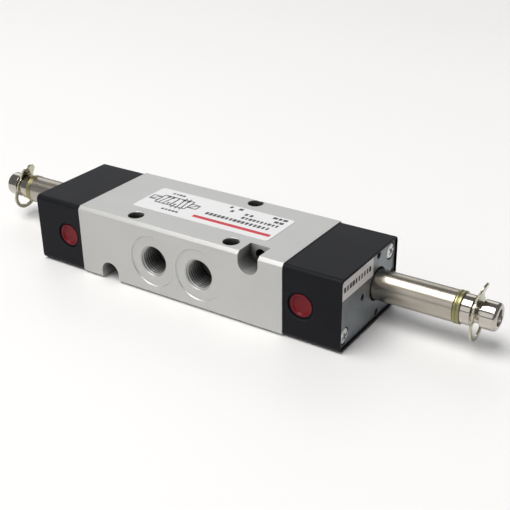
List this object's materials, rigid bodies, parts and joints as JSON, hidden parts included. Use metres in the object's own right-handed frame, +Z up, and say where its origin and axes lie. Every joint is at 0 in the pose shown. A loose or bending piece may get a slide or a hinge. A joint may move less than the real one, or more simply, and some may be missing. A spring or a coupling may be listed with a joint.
{
  "type": "solenoid directional valve",
  "caption": "Solenoid-piloted directional spool valve block with black end caps, bare armature tubes, red manual override buttons and threaded ports.",
  "frame": {"origin": "middle of the valve body's underside, halfway between its two end caps", "axes": "+X along the spool and the armature tubes, -Y out of the front face with the two outlet ports, +Y out of the back face with the supply and exhaust ports, +Z up, square to the labelled top"},
  "size_m": [0.1784, 0.0336, 0.0226],
  "materials": {
    "body_aluminium": "satin extruded and machined aluminium",
    "spool_metal": "hard anodised and polished",
    "piston_plastic": "moulded acetal",
    "black_plastic": "matt glass-filled moulding with a fine grain",
    "zinc_plate": "zinc plated steel, satin grey-blue",
    "bright_steel": "bright zinc plated",
    "tube_steel": "drawn stainless steel, satin with a warm reflection",
    "magnetic_steel": "ground magnetic stainless steel",
    "yellow_zinc": "yellow passivated zinc",
    "clip_steel": "spring steel, yellow passivated, bright on the edges",
    "brass": "turned brass",
    "copper": "bare copper",
    "spring_steel": "drawn spring wire",
    "rubber": "nitrile rubber",
    "red_plastic": "moulded, dark crimson, semi-gloss",
    "white_label": "printed polyester label",
    "grey_sticker": "printed paper sticker"
  },
  "bodies": {
    "housing": {"armature_spring_left": "spring_steel", "armature_spring_right": "spring_steel", "armature_tube_left": "tube_steel", "armature_tube_right": "tube_steel", "cap_screw_left_1": "bright_steel", "cap_screw_left_2": "bright_steel", "cap_screw_right_1": "bright_steel", "cap_screw_right_2": "bright_steel", "cap_seal_left": "rubber", "cap_seal_right": "rubber", "end_cap_left": "black_plastic", "end_cap_right": "black_plastic", "end_plate_left": "zinc_plate", "end_plate_right": "zinc_plate", "end_sticker": "grey_sticker", "fixed_core_left": "tube_steel", "fixed_core_right": "tube_steel", "joint_ring_left": "yellow_zinc", "joint_ring_right": "yellow_zinc", "name_label": "white_label", "nozzle_seat_left": "brass", "nozzle_seat_right": "brass", "override_retainer_left": "black_plastic", "override_retainer_right": "black_plastic", "override_spring_left": "spring_steel", "override_spring_right": "spring_steel", "plate_screw_left_1": "bright_steel", "plate_screw_left_2": "bright_steel", "plate_screw_right_1": "bright_steel", "plate_screw_right_2": "bright_steel", "shading_ring_left": "copper", "shading_ring_right": "copper", "spool_seal_1": "rubber", "spool_seal_2": "rubber", "spool_seal_3": "rubber", "spool_seal_4": "rubber", "spool_seal_5": "rubber", "spool_seal_6": "rubber", "tube_seal_left": "rubber", "tube_seal_right": "rubber", "valve_body": "body_aluminium"},
    "spool_set": {"spool": "spool_metal", "piston_left": "piston_plastic", "piston_right": "piston_plastic", "piston_seal_left": "rubber", "piston_seal_right": "rubber"},
    "plunger_left": {"armature_left": "magnetic_steel", "armature_disc_left": "rubber"},
    "button_left": {"override_button_left": "red_plastic", "override_seal_left": "rubber"},
    "clip_left": {"retaining_clip_left": "clip_steel"},
    "plunger_right": {"armature_right": "magnetic_steel", "armature_disc_right": "rubber"},
    "button_right": {"override_button_right": "red_plastic", "override_seal_right": "rubber"},
    "clip_right": {"retaining_clip_right": "clip_steel"}
  },
  "joints": [
    {"name": "spool_slide", "type": "slide", "parent": "housing", "child": "spool_set", "axis": [1, 0, 0], "range_m": [-0.004, 0]},
    {"name": "armature_slide_left", "type": "slide", "parent": "housing", "child": "plunger_left", "axis": [-1, 0, 0], "range_m": [0, 0.0015], "stiffness_N_per_m": 400, "springref_m": -0.004, "deforming": ["armature_spring_left"]},
    {"name": "armature_slide_right", "type": "slide", "parent": "housing", "child": "plunger_right", "axis": [1, 0, 0], "range_m": [0, 0.0015], "stiffness_N_per_m": 400, "springref_m": -0.004, "deforming": ["armature_spring_right"]},
    {"name": "override_push_left", "type": "slide", "parent": "housing", "child": "button_left", "axis": [0, 1, 0], "range_m": [0, 0.0018], "stiffness_N_per_m": 800, "springref_m": -0.002, "deforming": ["override_spring_left"]},
    {"name": "override_push_right", "type": "slide", "parent": "housing", "child": "button_right", "axis": [0, 1, 0], "range_m": [0, 0.0018], "stiffness_N_per_m": 800, "springref_m": -0.002, "deforming": ["override_spring_right"]},
    {"name": "clip_slide_left", "type": "slide", "parent": "housing", "child": "clip_left", "axis": [0.1742, 0, 0.9847], "range_m": [0, 0.0031]},
    {"name": "clip_slide_right", "type": "slide", "parent": "housing", "child": "clip_right", "axis": [0, 0, 1], "range_m": [0, 0.0031]}
  ]
}
